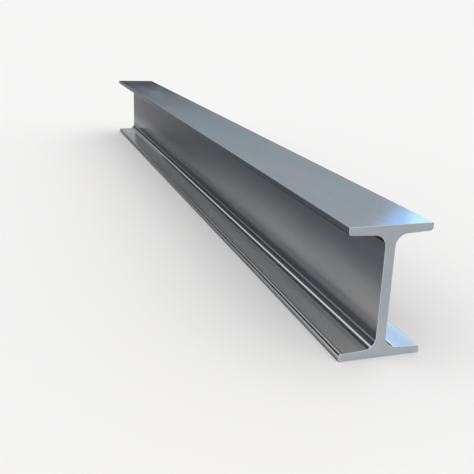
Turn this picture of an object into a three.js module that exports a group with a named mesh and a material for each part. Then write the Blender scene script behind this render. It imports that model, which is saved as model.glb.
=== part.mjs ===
// A hot-rolled steel I-beam: one bar, two metres long, standing on its bottom flange.
// Millimetres. +Z is up and +Y runs along the bar. The origin is on the underside, half way along and across.

import * as THREE from "three";

// The rolled section
const depth = 200; // over both flanges
const flangeWidth = 130;
const webThickness = 15.5;
const flangeThickness = 13.5; // measured half way between the web's middle and the toe
const flangeSlope = 1 / 20; // of a flange's inner face, which falls away towards the toe
const rootRadius = 18; // fillet between web and flange
const toeRadius = 4.5; // inner corner of a toe
const edgeRadius = 1.2; // outer corner of a toe

// The bar
const length = 2000;
const endChamfer = 0.8; // the saw's burr is ground off both ends

const divisionsPerArc = 8; // three.js cuts an arc into twice as many chords

const steel = new THREE.MeshStandardMaterial({
  name: "rolled_steel",
  color: 0x9ba0a3,
  metalness: 0.9,
  roughness: 0.38,
});

// Thickness of a flange at a distance x from the web's middle plane.
function thicknessAt(x) {
  return flangeThickness + flangeSlope * (flangeWidth / 4 - x);
}

// The three corners of the section's upper right quarter, clockwise, about the section's centre.
function quarterCorners() {
  const toe = flangeWidth / 2;
  const top = depth / 2;
  const root = webThickness / 2;
  return [
    { point: new THREE.Vector2(toe, top), radius: edgeRadius },
    { point: new THREE.Vector2(toe, top - thicknessAt(toe)), radius: toeRadius },
    { point: new THREE.Vector2(root, top - thicknessAt(root)), radius: rootRadius },
  ];
}

// The quarter's corners turned over left to right, top to bottom, or both.
// One mirror turns the order round as well, so it is reversed to stay clockwise.
function mirrored(corners, signX, signY) {
  const moved = corners.map(({ point, radius }) => ({
    point: new THREE.Vector2(signX * point.x, signY * point.y),
    radius,
  }));
  return signX * signY < 0 ? moved.reverse() : moved;
}

// A closed outline through the corners, each rounded by an arc that is tangent to both of its sides.
function roundedOutline(corners) {
  const outline = new THREE.Shape();
  corners.forEach(({ point, radius }, i) => {
    const before = corners.at(i - 1).point;
    const after = corners[(i + 1) % corners.length].point;
    const toBefore = before.clone().sub(point).normalize();
    const toAfter = after.clone().sub(point).normalize();

    const halfAngle = Math.acos(toBefore.dot(toAfter)) / 2;
    const inwards = toBefore.clone().add(toAfter).normalize();
    const centre = point.clone().addScaledVector(inwards, radius / Math.sin(halfAngle));

    const tangentLength = radius / Math.tan(halfAngle);
    const start = point.clone().addScaledVector(toBefore, tangentLength).sub(centre);
    const end = point.clone().addScaledVector(toAfter, tangentLength).sub(centre);

    const clockwise = toBefore.cross(toAfter) > 0;
    outline.absarc(centre.x, centre.y, radius, start.angle(), end.angle(), clockwise);
  });
  outline.closePath();
  return outline;
}

function beamSection() {
  const quarter = quarterCorners();
  return roundedOutline([
    ...quarter,
    ...mirrored(quarter, 1, -1),
    ...mirrored(quarter, -1, -1),
    ...mirrored(quarter, -1, 1),
  ]);
}

// The section carried along the bar. The bevel is the ground edge round each sawn end,
// and its negative offset keeps the bar itself at the section's full size.
function beamGeometry() {
  const geometry = new THREE.ExtrudeGeometry(beamSection(), {
    depth: length - 2 * endChamfer,
    bevelThickness: endChamfer,
    bevelSize: endChamfer,
    bevelOffset: -endChamfer,
    bevelSegments: 1,
    curveSegments: divisionsPerArc,
  });
  return geometry.translate(0, 0, endChamfer - length / 2);
}

const beam = new THREE.Mesh(beamGeometry(), steel);
beam.name = "i_beam";
beam.rotation.x = Math.PI / 2; // the section's height becomes +Z and the bar lies along Y
beam.position.z = depth / 2;

const part = new THREE.Group();
part.add(beam);

export default part;
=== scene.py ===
import math

import bpy
import numpy as np
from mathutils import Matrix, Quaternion, Vector


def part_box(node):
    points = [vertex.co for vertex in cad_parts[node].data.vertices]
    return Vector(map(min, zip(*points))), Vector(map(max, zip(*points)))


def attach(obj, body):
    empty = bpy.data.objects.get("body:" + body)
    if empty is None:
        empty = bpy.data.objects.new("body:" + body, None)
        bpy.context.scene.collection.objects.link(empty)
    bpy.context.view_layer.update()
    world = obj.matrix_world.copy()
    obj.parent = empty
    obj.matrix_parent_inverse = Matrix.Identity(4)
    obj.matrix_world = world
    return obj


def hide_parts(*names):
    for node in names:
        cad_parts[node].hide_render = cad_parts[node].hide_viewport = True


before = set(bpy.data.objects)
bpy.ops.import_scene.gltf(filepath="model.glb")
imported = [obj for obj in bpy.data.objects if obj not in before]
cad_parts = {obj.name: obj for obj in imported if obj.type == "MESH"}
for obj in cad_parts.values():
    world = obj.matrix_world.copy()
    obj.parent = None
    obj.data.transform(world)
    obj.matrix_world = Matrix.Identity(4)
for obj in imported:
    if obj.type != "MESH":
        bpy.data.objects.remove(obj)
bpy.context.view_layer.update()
print("frame loaded:", ", ".join(sorted(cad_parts)))


# The camera stands beyond the beam's near end and to its left, and looks down along it. Its lens and
# sensor are in millimetres, and the rest is in metres and degrees.
view = {
    "place": (-0.4884, -1.7923, 0.4654),
    "heading": 18.52,  # from +Y towards +X
    "lookDown": 17.78,
    "roll": 2.09,
    "lens": 52.76,
    "sensor": 36.0,
    "nearest": 0.05,
    "farthest": 500.0,
}


# A heading from +Y towards +X and a height above the horizon, in degrees, as a direction:
# (sin heading * cos height, cos heading * cos height, sin height).
def direction(heading, height):
    turn, lift = math.radians(heading), math.radians(height)
    return Vector((
        math.sin(turn) * math.cos(lift),
        math.cos(turn) * math.cos(lift),
        math.sin(lift),
    ))


# The camera looks along its heading, and then turns about that direction by its roll.
def makeCamera():
    forward = direction(view["heading"], -view["lookDown"])
    level = forward.to_track_quat("-Z", "Y")
    roll = Quaternion(forward, math.radians(-view["roll"]))
    data = bpy.data.cameras.new("camera")
    data.lens = view["lens"]
    data.sensor_width = view["sensor"]
    data.clip_start = view["nearest"]
    data.clip_end = view["farthest"]
    camera = bpy.data.objects.new("camera", data)
    camera.rotation_mode = "QUATERNION"
    camera.rotation_quaternion = roll @ level
    camera.location = view["place"]
    bpy.context.scene.collection.objects.link(camera)
    bpy.context.scene.camera = camera


makeCamera()
print("camera placed")


# The rolled bar, in metres. Its width, depth and length are the frame's own.
beam = {
    "webThickness": 0.0155,
    "flangeThickness": 0.0135,  # half way between the web's middle and the toe
    "flangeSlope": 1 / 20,  # the inner faces fall away towards the toes
    "rootRadius": 0.018,
    "toeRadius": 0.0045,
    "edgeRadius": 0.0012,
    "outerReach": 1 / 3,  # of the edge radius: how far the outer faces' finish goes round the corners
    "endRadius": 0.0008,  # the ground edge round each sawn end
    "arcSteps": 14,
    "endSteps": 4,
    "widestStrip": 0.008,  # on the section's flat sides
    "lengthSteps": 100,
}

# The rounding of the section's twelve corners, clockwise from the top right. Each half has six of them.
rounding = ("edgeRadius", "toeRadius", "rootRadius", "rootRadius", "toeRadius", "edgeRadius") * 2


# Each vector divided by its length.
def unit(vectors):
    return vectors / np.linalg.norm(vectors, axis=-1, keepdims=True)


# The section's corners, clockwise seen from the near end, from the top right corner.
# At a distance x from the web's middle a flange is thickness + slope * (width / 4 - x) thick.
def sectionCorners(width, depth):
    def flangeAt(x):
        return beam["flangeThickness"] + beam["flangeSlope"] * (width / 4 - x)

    toe = width / 2
    root = beam["webThickness"] / 2
    right = np.array([
        (toe, depth),
        (toe, depth - flangeAt(toe)),
        (root, depth - flangeAt(root)),
        (root, flangeAt(root)),
        (toe, flangeAt(toe)),
        (toe, 0.0),
    ])
    left = right[::-1] * (-1, 1)
    return np.concatenate([right, left])


# Every corner's arc, as points and outward normals. An arc touches both sides of its corner: its ends
# lie radius / tan(half angle) along them, and its centre radius / sin(half angle) along the bisector.
def cornerArcs(corners, radii, steps):
    toBefore = unit(np.roll(corners, 1, axis=0) - corners)
    toAfter = unit(np.roll(corners, -1, axis=0) - corners)
    halfAngle = np.arccos(np.sum(toBefore * toAfter, axis=1)) / 2
    centres = corners + unit(toBefore + toAfter) * (radii / np.sin(halfAngle))[:, None]
    reach = (radii / np.tan(halfAngle))[:, None]
    first = corners + toBefore * reach - centres
    last = corners + toAfter * reach - centres
    start = np.arctan2(first[:, 1], first[:, 0])
    turn = np.arctan2(last[:, 1], last[:, 0]) - start
    turn = (turn + np.pi) % (2 * np.pi) - np.pi
    angles = start[:, None] + turn[:, None] * np.linspace(0, 1, steps + 1)
    radial = np.stack([np.cos(angles), np.sin(angles)], axis=2)
    points = centres[:, None] + radial * radii[:, None, None]
    normals = -np.sign(turn)[:, None, None] * radial  # a root's arc faces its centre
    return points, normals


# The closed outline: the arcs in turn, and evenly spaced points along each flat side between two arcs.
# The last array numbers the corner whose arc a point is on, or is -1 on a flat side.
def sectionOutline(width, depth):
    radii = np.array([beam[name] for name in rounding])
    arcs, arcNormals = cornerArcs(sectionCorners(width, depth), radii, beam["arcSteps"])
    points, normals, corner = [], [], []
    for i, arc in enumerate(arcs):
        side = arcs[(i + 1) % len(arcs), 0] - arc[-1]
        strips = math.ceil(np.linalg.norm(side) / beam["widestStrip"])
        between = np.arange(1, strips)[:, None] / strips
        points += [arc, arc[-1] + side * between]
        normals += [arcNormals[i], np.tile(arcNormals[i, -1], (strips - 1, 1))]
        corner += [np.full(len(arc), i), np.full(strips - 1, -1)]
    return np.concatenate(points), np.concatenate(normals), np.concatenate(corner)


# Each outline point's distance, along the outline, from the nearest arc of the radius named. The length s
# is summed from point to point, and |s - the arc's middle| is taken the shorter way round.
def distanceFrom(outline, corner, radiusName):
    steps = np.linalg.norm(np.roll(outline, -1, axis=0) - outline, axis=1)
    along = np.cumsum(steps) - steps
    girth = steps.sum()
    nearest = np.full(len(outline), girth)
    for i in np.flatnonzero(np.array(rounding) == radiusName):
        ends = along[corner == i][[0, -1]]
        apart = np.abs((along - ends.mean() + girth / 2) % girth - girth / 2)
        nearest = np.minimum(nearest, np.maximum(apart - np.ptp(ends) / 2, 0.0))
    return nearest


# Where the outline stands along the bar, how far it is drawn in there, and how far its normal leans
# out of the section's plane. Each end is a quarter circle: at an angle a from the end face the outline
# is drawn in by r * (1 - sin a) and stands r * (1 - cos a) behind the face, and its normal leans by cos a.
def stationsAlong(length):
    radius = beam["endRadius"]
    angle = np.linspace(0, np.pi / 2, beam["endSteps"] + 1)
    back = length / 2 - radius * (1 - np.cos(angle))
    drawnIn = radius * (1 - np.sin(angle))
    lean = np.cos(angle)
    between = np.linspace(radius - length / 2, length / 2 - radius, beam["lengthSteps"] + 1)[1:-1]
    straight = np.zeros(len(between))
    return (
        np.concatenate([-back, between, back[::-1]]),
        np.concatenate([drawnIn, straight, drawnIn[::-1]]),
        np.concatenate([-lean, straight, lean[::-1]]),
    )


# An end face is a ladder of strips between the outline's right half and its mirror image on the left,
# because every height of the section holds one span of steel. Its first and last strips also take in
# the points along the outer faces of the flanges. The right half ends with the last of its corners.
def endFaces(corner):
    count = len(corner)
    lastRight = len(rounding) // 2 - 1
    halfCount = np.flatnonzero(corner == lastRight)[-1] + 1
    outer = (count - 2 * halfCount) // 2
    right = np.arange(halfCount)
    left = 2 * halfCount + outer - 1 - right
    strips = np.stack([right[:-1], right[1:], left[1:], left[:-1]], axis=1).tolist()
    strips[0] += range(2 * halfCount + outer, count)
    strips[-1][2:2] = range(halfCount, halfCount + outer)
    return strips


# The outline carried along the bar: at each place along it the outline is drawn in along its normals.
# Material 0 is the flanges' outer faces, 1 the rest of the rolled surface, and 2 the sawn ends with their
# ground edges. The mesh keeps each point's distance along the outline from the nearest outer corner and
# root, and "turned", the angle in degrees that the surface has turned from upright: arcsin |normal up|.
def makeBeam():
    low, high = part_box("i_beam")
    width, length, depth = high - low
    outline, normals, corner = sectionOutline(width, depth)
    places, drawnIn, lean = stationsAlong(length)

    section = outline - normals * drawnIn[:, None, None]
    points = np.empty((len(places), len(outline), 3))
    points[..., 0] = section[..., 0]
    points[..., 1] = places[:, None]
    points[..., 2] = section[..., 1] + low.z
    outwards = np.empty_like(points)
    upright = np.sqrt(1 - lean**2)[:, None]
    outwards[..., 0] = normals[:, 0] * upright
    outwards[..., 1] = lean[:, None]
    outwards[..., 2] = normals[:, 1] * upright

    count = len(outline)
    spans = len(places) - 1
    rows = np.arange(spans)[:, None] * count
    here = np.arange(count)
    after = (here + 1) % count
    sides = np.stack([rows + here, rows + after, rows + count + after, rows + count + here], axis=2)
    ladder = endFaces(corner)
    faces = sides.reshape(-1, 4).tolist()
    faces += [face[::-1] for face in ladder]
    faces += [[point + spans * count for point in face] for face in ladder]
    middles = (outline + np.roll(outline, -1, axis=0)) / 2
    outerReach = beam["edgeRadius"] * beam["outerReach"]
    outerFace = np.abs(middles[:, 1] - depth / 2) > depth / 2 - outerReach
    ground = np.minimum(np.arange(spans), np.arange(spans)[::-1]) < beam["endSteps"]
    finish = np.where(ground[:, None], 2, np.where(outerFace, 0, 1))
    finish = np.concatenate([finish.ravel(), np.full(2 * len(ladder), 2)])

    mesh = bpy.data.meshes.new("rolled_beam")
    mesh.from_pydata(points.reshape(-1, 3), [], faces)
    mesh.normals_split_custom_set_from_vertices(outwards.reshape(-1, 3))
    mesh.polygons.foreach_set("material_index", finish.astype(np.int32))
    outerCorners = distanceFrom(outline, corner, "edgeRadius")
    roots = distanceFrom(outline, corner, "rootRadius")
    turned = np.degrees(np.arcsin(np.abs(normals[:, 1])))
    for name, values in (("cornerDistance", outerCorners), ("rootDistance", roots), ("turned", turned)):
        attribute = mesh.attributes.new(name, "FLOAT", "POINT")
        attribute.data.foreach_set("value", np.tile(values, len(places)))

    piece = bpy.data.objects.new("rolled_beam", mesh)
    bpy.context.scene.collection.objects.link(piece)
    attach(piece, "root")
    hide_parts("i_beam")
    print("beam made:", len(mesh.polygons), "faces")
    return piece


rolledBeam = makeBeam()


# Inputs go by name or number, and each takes a value or another node's output.
def fillInputs(tree, node, inputs):
    for name, value in inputs.items():
        if isinstance(value, bpy.types.NodeSocket):
            tree.links.new(value, node.inputs[name])
        else:
            node.inputs[name].default_value = value


# A shader node of the kind, with its inputs filled and its settings set.
def addNode(tree, kind, inputs=None, **settings):
    node = tree.nodes.new("ShaderNode" + kind)
    for name, value in settings.items():
        setattr(node, name, value)
    fillInputs(tree, node, inputs or {})
    return node


def calculate(tree, operation, *values):
    return addNode(tree, "Math", dict(enumerate(values)), operation=operation).outputs[0]


# The value moves smoothly from low to high as the reading goes from start to end.
def ramp(tree, reading, start, end, low=0.0, high=1.0):
    inputs = {0: reading, 1: start, 2: end, 3: low, 4: high}
    return addNode(tree, "MapRange", inputs, interpolation_type="SMOOTHSTEP").outputs[0]


def multiply(tree, value, *others):
    for other in others:
        value = calculate(tree, "MULTIPLY", value, other)
    return value


def greatest(tree, value, *others):
    for other in others:
        value = calculate(tree, "MAXIMUM", value, other)
    return value


def invert(tree, mask):
    return calculate(tree, "SUBTRACT", 1.0, mask)


# Two masks as one, without a crease where they cross: 1 - (1 - first) * (1 - second).
def either(tree, first, second):
    return invert(tree, multiply(tree, invert(tree, first), invert(tree, second)))


# The colour times a grey of the given tone, which may be over 1. A Mix node takes its share as input 0
# and two colours as inputs 6 and 7, and gives the mixed colour as output 2.
def darken(tree, colour, tone):
    grey = addNode(tree, "CombineColor", {0: tone, 1: tone, 2: tone}).outputs[0]
    inputs = {0: 1.0, 6: colour, 7: grey}
    return addNode(tree, "Mix", inputs, data_type="RGBA", blend_type="MULTIPLY").outputs[2]


# The first colour where the share is 0, and the second where it is 1.
def mixColours(tree, share, first, second):
    return addNode(tree, "Mix", {0: share, 6: first, 7: second}, data_type="RGBA").outputs[2]


def newMaterial(name):
    material = bpy.data.materials.new(name)
    material.use_nodes = True
    tree = material.node_tree
    tree.nodes.clear()
    return material, tree


# A node group whose inputs are one Vector and some numbers, each with its starting value.
def newGroup(name, numbers, output):
    tree = bpy.data.node_groups.new(name, "ShaderNodeTree")
    tree.interface.new_socket("Vector", in_out="INPUT", socket_type="NodeSocketVector")
    for label, value in numbers.items():
        socket = tree.interface.new_socket(label, in_out="INPUT", socket_type="NodeSocketFloat")
        socket.default_value = value
    tree.interface.new_socket(output, in_out="OUTPUT", socket_type="NodeSocketFloat")
    return tree, tree.nodes.new("NodeGroupInput").outputs


def finishGroup(tree, value):
    tree.links.new(value, tree.nodes.new("NodeGroupOutput").inputs[0])
    return tree


def placeGroup(tree, group, inputs):
    node = tree.nodes.new("ShaderNodeGroup")
    node.node_tree = group
    fillInputs(tree, node, inputs)
    return node.outputs[0]


pattern = {
    "roughness": 0.55,  # the strength of the noise's finer parts
    "range": (0.27, 0.73),  # the middle of the noise's values
    "edgeDetail": 4.0,
    "edgeSwing": (0.33, 1.67),  # least and most of a bare edge's width
}


# Cloudy noise whose marks are about "Across" wide over the bar and "Along" long down it, in metres: the
# place is divided by those sizes before the noise is read, and the middle of its range becomes 0 to 1.
def makeDrawnNoise():
    numbers = {"Across": 0.05, "Along": 0.25, "Detail": 3.0}
    tree, given = newGroup("drawnNoise", numbers, "Mask")
    size = addNode(tree, "CombineXYZ", {0: given["Across"], 1: given["Along"], 2: given["Across"]})
    place = addNode(tree, "VectorMath", {0: given["Vector"], 1: size.outputs[0]}, operation="DIVIDE")
    noise = addNode(tree, "TexNoise", {
        "Vector": place.outputs[0], "Scale": 1.0,
        "Detail": given["Detail"], "Roughness": pattern["roughness"],
    })
    return finishGroup(tree, ramp(tree, noise.outputs[0], *pattern["range"]))


# Bare metal along an edge: 1 on the edge, falling to 0 at "Width" metres, where the width itself
# swings between a third and five thirds of its value with a coarse noise.
def makeBareEdge():
    tree, given = newGroup("bareEdge", {"Distance": 0.0, "Width": 0.001, "Patch": 0.02}, "Mask")
    noise = placeGroup(tree, drawnNoise, {
        "Vector": given["Vector"], "Detail": pattern["edgeDetail"],
        "Across": given["Patch"], "Along": given["Patch"],
    })
    swing = ramp(tree, noise, 0.0, 1.0, *pattern["edgeSwing"])
    width = calculate(tree, "MULTIPLY", given["Width"], swing)
    share = calculate(tree, "DIVIDE", given["Distance"], width)
    return finishGroup(tree, ramp(tree, share, 1.0, 0.0))


drawnNoise = makeDrawnNoise()
bareEdge = makeBareEdge()


# How wide, across the bar, and how long, down it, each kind of mark on the rolled surface is, in metres.
marks = {
    "clouds": {"Across": 0.035, "Along": 0.16, "Detail": 3.0},
    "streaks": {"Across": 0.0016, "Along": 0.11, "Detail": 4.0},
    "hue": {"Across": 0.06, "Along": 0.22, "Detail": 1.0},
    "grain": {"Across": 0.0011, "Along": 0.0016, "Detail": 2.0},
    "waves": {"Across": 0.05, "Along": 0.20, "Detail": 1.0},
}

rolled = {
    "paintedShade": (0.062, 0.076, 0.091, 1),  # painted shade and painted dark reflection
    "bareAndHighlight": (0.680, 0.690, 0.700, 1),  # metal rubbed bright on the outer edges, and painted highlights along the roots and toes
    # Painted dark reflection, in lines along the roots and toes.
    "paintedDark": (0.018, 0.019, 0.021, 1),
    "dust": (0.60, 0.575, 0.565, 1),
    "edgeWidth": 0.0009,
    "edgePatch": 0.03,
    "edgeShare": 0.2,
    "streakTone": 0.03,
    "cloudTone": 0.03,
    "roughness": (0.12, 0.20),  # least and most
    "streakShare": 0.25,  # of the change in roughness, and the clouds have the rest
    "dustRoughness": 0.3,  # what full dust adds
    "waveHeight": 0.00008,
    "streakHeight": 0.0000003,
    "grainHeight": 0.0000012,
}


# What the rolled materials read: the place, its parts, what the mesh keeps for each point, and the marks.
def readSurface(tree):
    place = addNode(tree, "TexCoord").outputs["Object"]
    parts = addNode(tree, "SeparateXYZ", {0: place}).outputs
    surface = {
        "place": place,
        "across": calculate(tree, "ABSOLUTE", parts[0]),
        "right": parts[0],
        "along": parts[1],
        "up": parts[2],
        "corner": addNode(tree, "Attribute", attribute_name="cornerDistance").outputs["Fac"],
        "root": addNode(tree, "Attribute", attribute_name="rootDistance").outputs["Fac"],
        "turned": addNode(tree, "Attribute", attribute_name="turned").outputs["Fac"],
    }
    for name, size in marks.items():
        surface[name] = placeGroup(tree, drawnNoise, {"Vector": place, **size})
    return surface


# Steel of two near colours with the given shares, laid on it in this order, of painted shade, bare metal
# and painted highlight, painted dark reflection, and dust. It is partly bare along its outer corners, and
# the polish multiplies its roughness.
def finishRolled(tree, surface, steel, paintedShade, polish, bareAndHighlight=0.0, paintedDark=0.0, dust=0.0):
    streaks, clouds = surface["streaks"], surface["clouds"]
    colour = mixColours(tree, surface["hue"], steel["light"], steel["blue"])
    colour = mixColours(tree, paintedShade, colour, rolled["paintedShade"])
    streakTone = ramp(tree, streaks, 0.0, 1.0, 1 - rolled["streakTone"], 1 + rolled["streakTone"])
    cloudTone = ramp(tree, clouds, 0.0, 1.0, 1 - rolled["cloudTone"], 1 + rolled["cloudTone"])
    colour = darken(tree, colour, multiply(tree, streakTone, cloudTone))
    edge = placeGroup(tree, bareEdge, {
        "Vector": surface["place"], "Distance": surface["corner"],
        "Width": rolled["edgeWidth"], "Patch": rolled["edgePatch"],
    })
    edge = multiply(tree, edge, rolled["edgeShare"])
    colour = mixColours(tree, greatest(tree, edge, bareAndHighlight), colour, rolled["bareAndHighlight"])
    colour = mixColours(tree, paintedDark, colour, rolled["paintedDark"])
    colour = mixColours(tree, dust, colour, rolled["dust"])

    metallic = invert(tree, dust) if dust else 1.0  # the dust isn't metal
    least, most = rolled["roughness"]
    streakRough = (most - least) * rolled["streakShare"]
    rough = calculate(tree, "MULTIPLY_ADD", streaks, streakRough, least)
    rough = calculate(tree, "MULTIPLY_ADD", clouds, most - least - streakRough, rough)
    rough = calculate(tree, "MULTIPLY_ADD", dust, rolled["dustRoughness"], rough)
    rough = multiply(tree, rough, polish)

    height = multiply(tree, surface["waves"], rolled["waveHeight"])
    height = calculate(tree, "MULTIPLY_ADD", streaks, rolled["streakHeight"], height)
    height = calculate(tree, "MULTIPLY_ADD", surface["grain"], rolled["grainHeight"], height)
    bump = addNode(tree, "Bump", {"Height": height, "Strength": 1.0, "Distance": 1.0})
    shader = addNode(tree, "BsdfPrincipled", {
        "Base Color": colour, "Metallic": metallic, "Roughness": rough, "Normal": bump.outputs[0],
        "Specular Tint": steel["edgeTint"],  # of the metal's reflection at a glancing angle
    })
    addNode(tree, "OutputMaterial", {"Surface": shader.outputs[0]})


outer = {
    "light": (0.452, 0.466, 0.482, 1),
    "blue": (0.404, 0.446, 0.476, 1),
    "edgeTint": (0.49, 0.51, 0.52, 1),
    "farEnd": (0.50, 1.0),  # along, in metres: where its finish begins and where it is full
    # The painted shade that darkens the far end.
    "farShade": 0.5,
    "polish": (0.7, 0.42),  # on most of the bar and at its far end
}


# The outer faces of the flanges, rubbed clean. Towards the far end they are darkened with painted shade
# and are smoother.
def makeOuterSteel():
    material, tree = newMaterial("rolledSteel")
    surface = readSurface(tree)
    paintedShade = ramp(tree, surface["along"], *outer["farEnd"], 0.0, outer["farShade"])
    polish = ramp(tree, surface["along"], *outer["farEnd"], *outer["polish"])
    finishRolled(tree, surface, outer, paintedShade, polish)
    return material


# Where the inner faces are darkened with painted shade, gather dust, and take painted highlights and
# painted dark reflections. Each pair of places, in metres, or of angles, in degrees that the surface has
# turned from upright, is where a mask is nothing and where it is full.
inner = {
    "light": (0.425, 0.425, 0.430, 1),
    "blue": (0.390, 0.405, 0.420, 1),
    "edgeTint": (0.50, 0.505, 0.51, 1),
    "polish": 0.5,  # in the roots
    "rightSide": (0.0, 0.006),  # across
    "rightSideDustAndDark": 0.25,
    # The web, with painted shade on its upper part and its far half
    "web": (0.026, 0.010),  # across
    "upperWeb": (0.06, 0.15),  # up
    "upperShade": 0.85,
    "farWeb": (-0.5, 0.35),  # along
    "farFoot": (0.035, 0.098),  # up
    "farShade": 0.94,
    # The roots. Each pair of shares, but the thin line's, is at the bottom root and at the top one.
    # Painted shade lies round the root, two lines are painted highlights, and a painted dark reflection
    # lies between them.
    "root": (0.015, 0.0035),  # from the root, along the outline
    "midWeb": (0.08, 0.12),  # up
    "rootShade": (0.73, 0.30),
    "rootShadeEnd": (84, 62),
    "line": (46, 50),
    "lineEnd": (56.5, 52),
    "lineShare": (1.0, 0.3),
    "paintedDark": (21, 27),
    "paintedDarkEnd": (46, 43),
    "paintedDarkShare": (0.75, 0.0),
    "thinLine": (10, 15),
    "thinLineEnd": (24, 19),
    "thinLineFar": (-0.7, 0.1),  # along
    "thinLineShare": (0.10, 0.0),  # at the near end and past the middle
    # The toes. A painted dark reflection runs round the inner corner of each. On the bottom flange painted
    # highlights lie on both sides of that line, and painted shade darkens the foot of the toe.
    "toe": (0.0640, 0.0648),  # across
    "toeShade": (0.12, 0.96),  # at the floor and at the top of the beam
    "toeArc": (0.0597, 0.0610),  # across
    "toeLine": (20, 28),
    "toeLineEnd": (64, 56),
    "toeHighlight": (0.0054, 0.0070),  # up
    "toeHighlightTop": (0.10, 0.05),  # up
    "toeHighlightShare": 0.9,
    "toeHighlightFar": (-0.8, -0.4),  # along
    "toeHighlightFading": (1.0, 0.4),  # at the near end and further on
    "foot": (0.0044, 0.0014),  # up
    "footShade": 0.85,
    # The dust on the bottom flange
    "dust": (0.030, 0.018),  # up
    "dustStart": (62, 76),
    "dustEnd": (0.0584, 0.0572),  # across
    "dustShare": (0.31, 0.37),  # least and most
    "toeDust": 0.48,
}


# Painted shade on the web: its upper part, and from there down over its far half.
def paintedShadeOnWeb(tree, surface):
    upper = ramp(tree, surface["up"], *inner["upperWeb"], 0.0, inner["upperShade"])
    far = multiply(
        tree,
        ramp(tree, surface["along"], *inner["farWeb"], 0.0, inner["farShade"]),
        ramp(tree, surface["up"], *inner["farFoot"]),
    )
    return multiply(tree, ramp(tree, surface["across"], *inner["web"]), either(tree, upper, far))


# Painted shade round the roots and on the toes, and on the foot of the bottom ones.
def paintedShadeOnFlanges(tree, surface):
    root = multiply(
        tree,
        ramp(tree, surface["root"], *inner["root"]),
        ramp(tree, surface["turned"], *inner["rootShadeEnd"]),
        ramp(tree, surface["up"], *inner["midWeb"], *inner["rootShade"]),
    )
    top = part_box("i_beam")[1].z
    toe = multiply(
        tree,
        ramp(tree, surface["across"], *inner["toe"]),
        ramp(tree, surface["up"], 0.0, top, *inner["toeShade"]),
    )
    foot = ramp(tree, surface["up"], *inner["foot"], 0.0, inner["footShade"])
    return root, greatest(tree, toe, foot)


# A line along the bar, from the angle where it starts to the one where it ends, times the shares. The
# line's name gives its two pairs of angles.
def lineAlong(tree, surface, name, *shares):
    start = ramp(tree, surface["turned"], *inner[name])
    end = ramp(tree, surface["turned"], *inner[name + "End"])
    return multiply(tree, start, end, *shares)


# A line that runs along the bottom roots and along the top ones, with a share for each.
def rootLine(tree, surface, name, *others):
    share = ramp(tree, surface["up"], *inner["midWeb"], *inner[name + "Share"])
    return lineAlong(tree, surface, name, share, *others)


# Painted highlights on the bottom toes beside their painted dark line, fainter away from the near end.
def paintedToeHighlights(tree, surface, nearToe, toeLine):
    return multiply(
        tree,
        ramp(tree, surface["up"], *inner["toeHighlight"]),
        ramp(tree, surface["up"], *inner["toeHighlightTop"], 0.0, inner["toeHighlightShare"]),
        ramp(tree, surface["along"], *inner["toeHighlightFar"], *inner["toeHighlightFading"]),
        nearToe,
        invert(tree, toeLine),
    )


# The dust on the bottom flange, cloudy as far as the toes and even on them, with less on the right side.
def dustOnFlange(tree, surface, nearToe, dustAndDarkShare):
    clouds = multiply(
        tree,
        ramp(tree, surface["clouds"], 0.0, 1.0, *inner["dustShare"]),
        ramp(tree, surface["across"], *inner["dustEnd"]),
    )
    return multiply(
        tree,
        ramp(tree, surface["up"], *inner["dust"]),
        ramp(tree, surface["turned"], *inner["dustStart"]),
        greatest(tree, clouds, multiply(tree, nearToe, inner["toeDust"])),
        dustAndDarkShare,
    )


# The web, the roots, the inner faces of the flanges and their toes.
def makeInnerSteel():
    material, tree = newMaterial("paintedLightSteel")
    surface = readSurface(tree)
    nearToe = ramp(tree, surface["across"], *inner["toeArc"])
    offToe = invert(tree, nearToe)
    # The dust and the painted dark line along the roots are thinner on the right side.
    dustAndDarkShare = ramp(tree, surface["right"], *inner["rightSide"], 1.0, inner["rightSideDustAndDark"])

    root, toe = paintedShadeOnFlanges(tree, surface)
    # Painted shade on the web, round the roots and on the toes.
    paintedShade = greatest(tree, either(tree, paintedShadeOnWeb(tree, surface), root), toe)
    toeLine = lineAlong(tree, surface, "toeLine", nearToe)
    thinShare = ramp(tree, surface["along"], *inner["thinLineFar"], *inner["thinLineShare"])
    # Painted highlights along the roots and the bottom toes.
    bareAndHighlight = greatest(
        tree,
        rootLine(tree, surface, "line", offToe),
        lineAlong(tree, surface, "thinLine", offToe, thinShare),
        paintedToeHighlights(tree, surface, nearToe, toeLine),
    )
    # Painted dark reflections along the toes and the bottom roots.
    paintedDark = greatest(tree, toeLine, rootLine(tree, surface, "paintedDark", offToe, dustAndDarkShare))
    dust = dustOnFlange(tree, surface, nearToe, dustAndDarkShare)
    polish = ramp(tree, surface["root"], *inner["root"], 1.0, inner["polish"])
    finishRolled(tree, surface, inner, paintedShade, polish, bareAndHighlight, paintedDark, dust)
    return material


sawn = {
    "metal": (0.398, 0.431, 0.455, 1),
    "dark": (0.350, 0.379, 0.400, 1),
    "bareAndHighlight": (0.60, 0.61, 0.62, 1),
    "cloud": {"Across": 0.03, "Along": 0.03, "Detail": 3.0},
    "grain": {"Across": 0.001, "Along": 0.001, "Detail": 2.0},
    "cloudShare": 0.6,  # of the change in tone, and the saw's marks have the rest
    "metallic": 0.85,
    "roughness": (0.38, 0.46),
    "spindle": (-0.42, 0.36),  # the saw's, across and up, in metres
    "toothMark": 0.0011,
    "toothDetail": 2.0,
    "markHeight": 0.000008,
    "grainHeight": 0.000003,
    "groundEdge": (0.00002, 0.0002),  # behind the end face
    "paintedFootLight": (1.25, 1.0),  # painted light: the tone at the floor and at this height
    "footHeight": 0.09,
}


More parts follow.
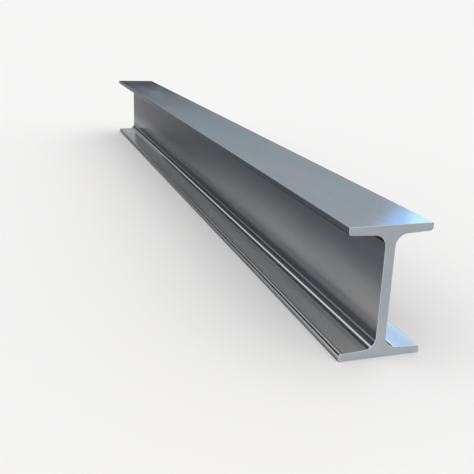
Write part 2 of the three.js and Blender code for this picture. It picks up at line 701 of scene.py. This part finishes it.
# The saw's marks are arcs about its spindle, so their noise is read at the distance from it.
def makeSawnSteel():
    material, tree = newMaterial("sawnSteel")
    place = addNode(tree, "TexCoord").outputs["Object"]
    across, along, up = addNode(tree, "SeparateXYZ", {0: place}).outputs
    spindleAcross, spindleUp = sawn["spindle"]
    apart = addNode(tree, "CombineXYZ", {
        0: calculate(tree, "SUBTRACT", across, spindleAcross),
        1: calculate(tree, "SUBTRACT", up, spindleUp),
    }).outputs[0]
    fromSpindle = addNode(tree, "VectorMath", {0: apart}, operation="LENGTH").outputs["Value"]
    toothMarksOut = calculate(tree, "DIVIDE", fromSpindle, sawn["toothMark"])
    inputs = {"W": toothMarksOut, "Scale": 1.0, "Detail": sawn["toothDetail"]}
    toothMarks = addNode(tree, "TexNoise", inputs, noise_dimensions="1D").outputs[0]
    cloud = placeGroup(tree, drawnNoise, {"Vector": place, **sawn["cloud"]})
    grain = placeGroup(tree, drawnNoise, {"Vector": place, **sawn["grain"]})

    tone = multiply(tree, toothMarks, 1 - sawn["cloudShare"])
    tone = calculate(tree, "MULTIPLY_ADD", cloud, sawn["cloudShare"], tone)
    colour = mixColours(tree, tone, sawn["dark"], sawn["metal"])
    behind = calculate(tree, "SUBTRACT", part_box("i_beam")[1].y, calculate(tree, "ABSOLUTE", along))
    # The ground edge round the end is bare bright metal, with a painted highlight.
    colour = mixColours(tree, ramp(tree, behind, *sawn["groundEdge"]), colour, sawn["bareAndHighlight"])
    # Painted light: the end is lighter towards the floor, where the floor in front of it lies in shade.
    colour = darken(tree, colour, ramp(tree, up, 0.0, sawn["footHeight"], *sawn["paintedFootLight"]))

    height = multiply(tree, toothMarks, sawn["markHeight"])
    height = calculate(tree, "MULTIPLY_ADD", grain, sawn["grainHeight"], height)
    bump = addNode(tree, "Bump", {"Height": height, "Strength": 1.0, "Distance": 1.0})
    shader = addNode(tree, "BsdfPrincipled", {
        "Base Color": colour, "Metallic": sawn["metallic"],
        "Roughness": ramp(tree, cloud, 0.0, 1.0, *sawn["roughness"]), "Normal": bump.outputs[0],
    })
    addNode(tree, "OutputMaterial", {"Surface": shader.outputs[0]})
    return material


for material in (makeOuterSteel(), makeInnerSteel(), makeSawnSteel()):
    rolledBeam.data.materials.append(material)
print("steel finished")


# The sky's colours stand at heights in degrees. At the horizon it is as pale as the floor. Ahead of the
# camera it is dim in a band that starts a few degrees above the horizon, for the top flange to mirror, and
# each pair of headings is where the band is nothing and where it is full.
studio = {
    "floorRadius": 60.0,
    "floorSides": 64,
    "floorColour": (0.945, 0.935, 0.928, 1),
    "paleSky": {
        0.0: (0.925, 0.925, 0.925, 1),
        30.0: (0.99, 0.99, 0.99, 1),
    },
    "dimSky": {
        0.0: (0.925, 0.925, 0.925, 1),
        3.85: (0.925, 0.925, 0.925, 1),
        4.35: (0.06, 0.07, 0.08, 1),
        5.7: (0.17, 0.19, 0.22, 1),
        8.5: (0.76, 0.84, 0.91, 1),
        14.0: (1.05, 1.07, 1.10, 1),
        30.0: (0.99, 0.99, 0.99, 1),
    },
    "dimFrom": (-60, -30),
    "dimTo": (70, 50),
}

# Each lamp stands at a heading from +Y towards +X and at a height, and is this wide, in degrees. Together
# they give the flanges' near corners their blue gleam, which is paler in the middle.
lamps = {
    "blueLamp": {
        "heading": 35.7, "height": 18.4, "width": 10.2,
        "strength": 0.049, "colour": (0.14, 0.45, 1.0),
    },
    "cyanLamp": {
        "heading": 36.0, "height": 16.6, "width": 6.4,
        "strength": 0.0135, "colour": (0.65, 1.0, 0.40),
    },
}


# A flat disc with its corners evenly round its rim.
def makeFloor():
    angles = np.arange(studio["floorSides"]) * 2 * np.pi / studio["floorSides"]
    ring = np.stack([np.cos(angles), np.sin(angles), 0 * angles], axis=1) * studio["floorRadius"]
    mesh = bpy.data.meshes.new("floor")
    mesh.from_pydata(ring.tolist(), [], [list(range(len(ring)))])
    floor = bpy.data.objects.new("floor", mesh)
    bpy.context.scene.collection.objects.link(floor)
    material, tree = newMaterial("floorPaint")
    shader = addNode(tree, "BsdfDiffuse", {"Color": studio["floorColour"]})
    addNode(tree, "OutputMaterial", {"Surface": shader.outputs[0]})
    mesh.materials.append(material)


# A far lamp that shines from its direction, and from as far round it as half its width.
def makeLamp(name, lamp):
    data = bpy.data.lights.new(name, "SUN")
    data.energy = lamp["strength"]
    data.angle = math.radians(lamp["width"])
    data.color = lamp["colour"]
    piece = bpy.data.objects.new(name, data)
    piece.rotation_mode = "QUATERNION"
    piece.rotation_quaternion = direction(lamp["heading"], lamp["height"]).to_track_quat("Z", "Y")
    bpy.context.scene.collection.objects.link(piece)


# The sky's colour at a height, moving smoothly from each colour to the next.
def skyColour(tree, height, colours):
    top = max(colours)
    sky = addNode(tree, "ValToRGB", {0: calculate(tree, "DIVIDE", height, top)})
    stops = sky.color_ramp
    stops.interpolation = "EASE"
    while len(stops.elements) < len(colours):
        stops.elements.new(0.5)  # its place is set below
    for stop, (place, colour) in zip(stops.elements, colours.items()):
        stop.position = place / top
        stop.color = colour
    return sky.outputs[0]


# The light from a direction (x, y, z) goes by its height arcsin(z) and its heading atan2(x, y).
def makeWorld():
    world = bpy.data.worlds.new("studio")
    bpy.context.scene.world = world
    world.use_nodes = True
    tree = world.node_tree
    tree.nodes.clear()
    towards = addNode(tree, "TexCoord").outputs["Generated"]
    x, y, z = addNode(tree, "SeparateXYZ", {0: towards}).outputs
    height = calculate(tree, "DEGREES", calculate(tree, "ARCSINE", z))
    heading = calculate(tree, "DEGREES", calculate(tree, "ARCTAN2", x, y))
    ahead = multiply(
        tree,
        ramp(tree, heading, *studio["dimFrom"]),
        ramp(tree, heading, *studio["dimTo"]),
    )
    pale = skyColour(tree, height, studio["paleSky"])
    dim = skyColour(tree, height, studio["dimSky"])
    light = addNode(tree, "Background", {"Color": mixColours(tree, ahead, pale, dim), "Strength": 1.0})
    addNode(tree, "OutputWorld", {"Surface": light.outputs[0]})


makeFloor()
makeWorld()
for name, lamp in lamps.items():
    makeLamp(name, lamp)
bpy.context.scene.view_settings.view_transform = "Standard"
print("studio lit")
